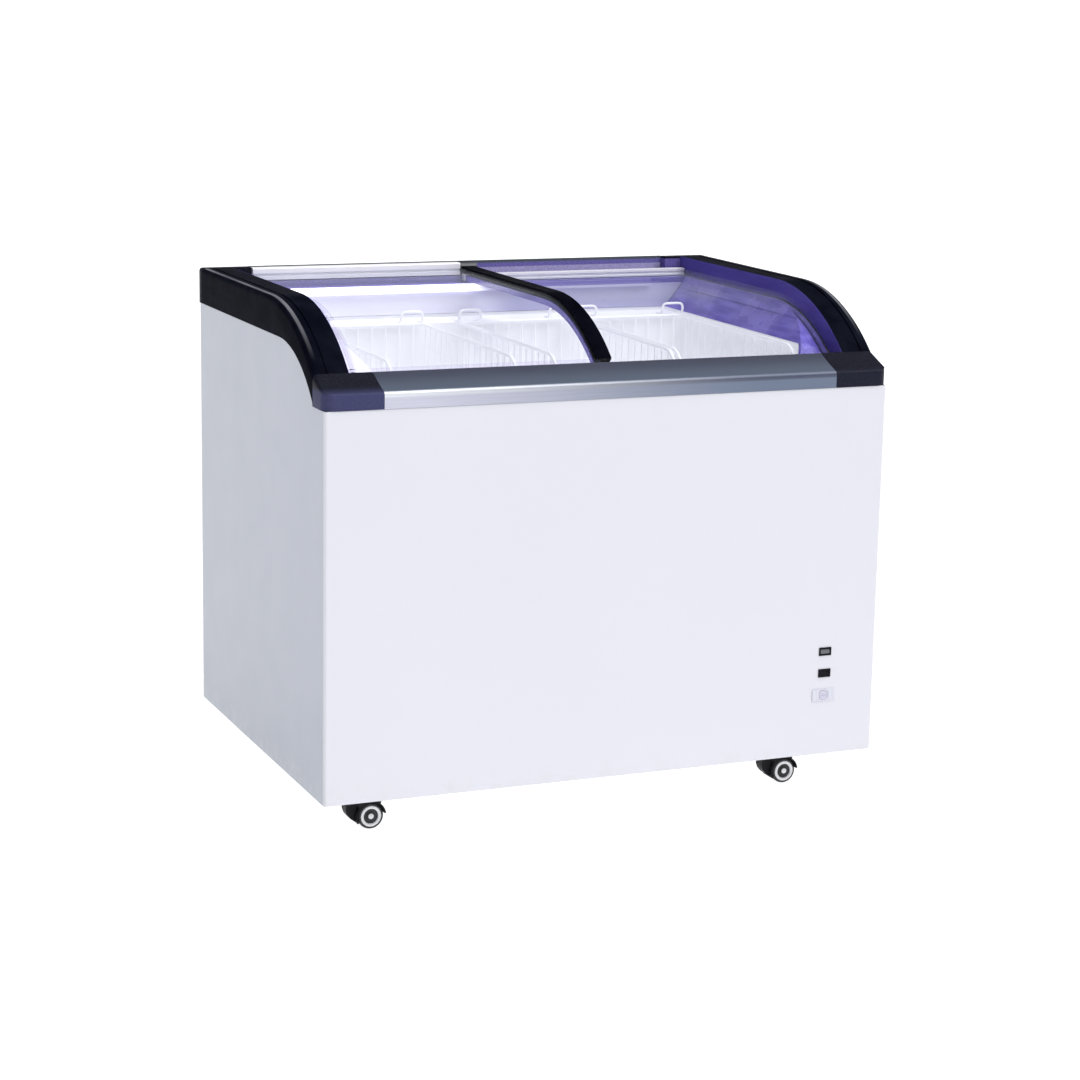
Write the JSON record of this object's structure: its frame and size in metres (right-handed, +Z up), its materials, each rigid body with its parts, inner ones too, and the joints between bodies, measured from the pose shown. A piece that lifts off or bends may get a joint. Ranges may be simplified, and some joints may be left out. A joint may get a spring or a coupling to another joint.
{
  "type": "chest freezer",
  "caption": "Display chest freezer on casters: insulated tub with hanging wire baskets under curved glass lids that slide sideways, dark arched top frame and front controls.",
  "frame": {"origin": "centre of the footprint, on the floor under the casters", "axes": "+X towards the freezer's right seen from the front, +Y from front to back, +Z up"},
  "size_m": [1, 0.714, 0.858],
  "materials": {
    "white_steel": "satin",
    "white_plastic": "satin",
    "lamp_diffuser": "satin",
    "zinc_steel": "satin",
    "foam": "matte",
    "copper": "satin",
    "black_trim": "satin",
    "rail_aluminium": "satin",
    "violet_plastic": "gloss",
    "clear_plastic": "gloss",
    "black_plastic": "satin",
    "grey_plastic": "satin",
    "pale_grey": "satin",
    "lid_glass": "gloss",
    "basket_wire": "gloss",
    "machine_black": "satin",
    "fin_metal": "satin",
    "caster_tyre": "satin"
  },
  "bodies": {
    "cabinet": {"front_panel": "white_steel", "rear_panel": "white_steel", "side_panel_left": "white_steel", "side_panel_right": "white_steel", "side_grille": "white_plastic", "base_pan": "zinc_steel", "inner_liner": "white_plastic", "foam_insulation": "foam", "evaporator_coil": "copper", "side_arch_left": "black_trim", "side_arch_right": "black_trim", "front_corner_left": "black_trim", "front_corner_right": "black_trim", "front_rail": "rail_aluminium", "rear_corner_left": "black_trim", "rear_corner_right": "black_trim", "rear_rail": "black_trim", "front_track": "black_plastic", "inner_trim_right": "violet_plastic", "inner_trim_left": "white_plastic", "inner_trim_rear": "white_plastic", "lamp_strip": "lamp_diffuser", "power_switch_frame": "black_plastic", "light_switch_frame": "black_plastic", "thermostat_plate": "pale_grey", "compressor": "machine_black", "condenser": "fin_metal", "fan_shroud": "machine_black", "cord_gland": "black_plastic", "caster_plate_front_left": "zinc_steel", "caster_plate_front_right": "zinc_steel", "caster_plate_rear_left": "zinc_steel", "caster_plate_rear_right": "zinc_steel"},
    "left_lid": {"lid_left_glass": "lid_glass", "lid_left_bar": "black_trim", "lid_left_edge": "clear_plastic", "lid_left_shoe": "clear_plastic", "lid_left_rear_profile": "rail_aluminium", "lid_left_end_cap": "grey_plastic"},
    "right_lid": {"lid_right_glass": "lid_glass", "lid_right_bar": "violet_plastic", "lid_right_edge": "clear_plastic", "lid_right_shoe": "clear_plastic", "lid_right_rear_profile": "rail_aluminium"},
    "left_basket": {"basket_left": "basket_wire"},
    "middle_basket": {"basket_middle": "basket_wire"},
    "right_basket": {"basket_right": "basket_wire"},
    "power_button": {"power_rocker": "black_plastic"},
    "light_button": {"light_rocker": "grey_plastic"},
    "dial": {"thermostat_dial": "pale_grey"},
    "fan": {"condenser_fan": "grey_plastic"},
    "plug": {"drain_plug": "grey_plastic"},
    "swivel_front_left": {"caster_housing_front_left": "black_plastic"},
    "wheel_front_left": {"caster_wheel_front_left": "caster_tyre"},
    "swivel_front_right": {"caster_housing_front_right": "black_plastic"},
    "wheel_front_right": {"caster_wheel_front_right": "caster_tyre"},
    "swivel_rear_left": {"caster_housing_rear_left": "black_plastic"},
    "wheel_rear_left": {"caster_wheel_rear_left": "caster_tyre"},
    "swivel_rear_right": {"caster_housing_rear_right": "black_plastic"},
    "wheel_rear_right": {"caster_wheel_rear_right": "caster_tyre"}
  },
  "joints": [
    {"name": "left_lid_slide", "type": "slide", "parent": "cabinet", "child": "left_lid", "axis": [1, 0, 0], "range_m": [0, 0.38]},
    {"name": "right_lid_slide", "type": "slide", "parent": "cabinet", "child": "right_lid", "axis": [1, 0, 0], "range_m": [-0.38, 0]},
    {"name": "left_basket_slide", "type": "slide", "parent": "cabinet", "child": "left_basket", "axis": [1, 0, 0], "range_m": [-0.048, 0.03]},
    {"name": "middle_basket_slide", "type": "slide", "parent": "cabinet", "child": "middle_basket", "axis": [1, 0, 0], "range_m": [-0.03, 0.001]},
    {"name": "right_basket_slide", "type": "slide", "parent": "cabinet", "child": "right_basket", "axis": [1, 0, 0], "range_m": [-0.004, 0.001]},
    {"name": "power_rocker_hinge", "type": "hinge", "parent": "cabinet", "child": "power_button", "pos_m": [0.401, -0.354, 0.216], "axis": [1, 0, 0], "range_deg": [0, 14]},
    {"name": "light_rocker_hinge", "type": "hinge", "parent": "cabinet", "child": "light_button", "pos_m": [0.401, -0.354, 0.254], "axis": [1, 0, 0], "range_deg": [0, 14]},
    {"name": "thermostat_hinge", "type": "hinge", "parent": "cabinet", "child": "dial", "pos_m": [0.401, -0.3555, 0.177], "axis": [0, -1, 0], "range_deg": [-135, 135]},
    {"name": "fan_spin", "type": "hinge", "parent": "cabinet", "child": "fan", "pos_m": [0.345, -0.102, 0.217], "axis": [0, -1, 0], "continuous": true},
    {"name": "drain_plug_lift", "type": "slide", "parent": "cabinet", "child": "plug", "axis": [0, 0, 1], "range_m": [0, 0.04]},
    {"name": "caster_front_left_swivel", "type": "hinge", "parent": "cabinet", "child": "swivel_front_left", "pos_m": [-0.382, -0.264, 0.06], "axis": [0, 0, 1], "continuous": true},
    {"name": "caster_front_left_wheel", "type": "hinge", "parent": "swivel_front_left", "child": "wheel_front_left", "pos_m": [-0.392, -0.264, 0.022], "axis": [0, 1, 0], "continuous": true},
    {"name": "caster_front_right_swivel", "type": "hinge", "parent": "cabinet", "child": "swivel_front_right", "pos_m": [0.382, -0.264, 0.06], "axis": [0, 0, 1], "continuous": true},
    {"name": "caster_front_right_wheel", "type": "hinge", "parent": "swivel_front_right", "child": "wheel_front_right", "pos_m": [0.372, -0.264, 0.022], "axis": [0, 1, 0], "continuous": true},
    {"name": "caster_rear_left_swivel", "type": "hinge", "parent": "cabinet", "child": "swivel_rear_left", "pos_m": [-0.382, 0.264, 0.06], "axis": [0, 0, 1], "continuous": true},
    {"name": "caster_rear_left_wheel", "type": "hinge", "parent": "swivel_rear_left", "child": "wheel_rear_left", "pos_m": [-0.392, 0.264, 0.022], "axis": [0, 1, 0], "continuous": true},
    {"name": "caster_rear_right_swivel", "type": "hinge", "parent": "cabinet", "child": "swivel_rear_right", "pos_m": [0.382, 0.264, 0.06], "axis": [0, 0, 1], "continuous": true},
    {"name": "caster_rear_right_wheel", "type": "hinge", "parent": "swivel_rear_right", "child": "wheel_rear_right", "pos_m": [0.372, 0.264, 0.022], "axis": [0, 1, 0], "continuous": true}
  ]
}
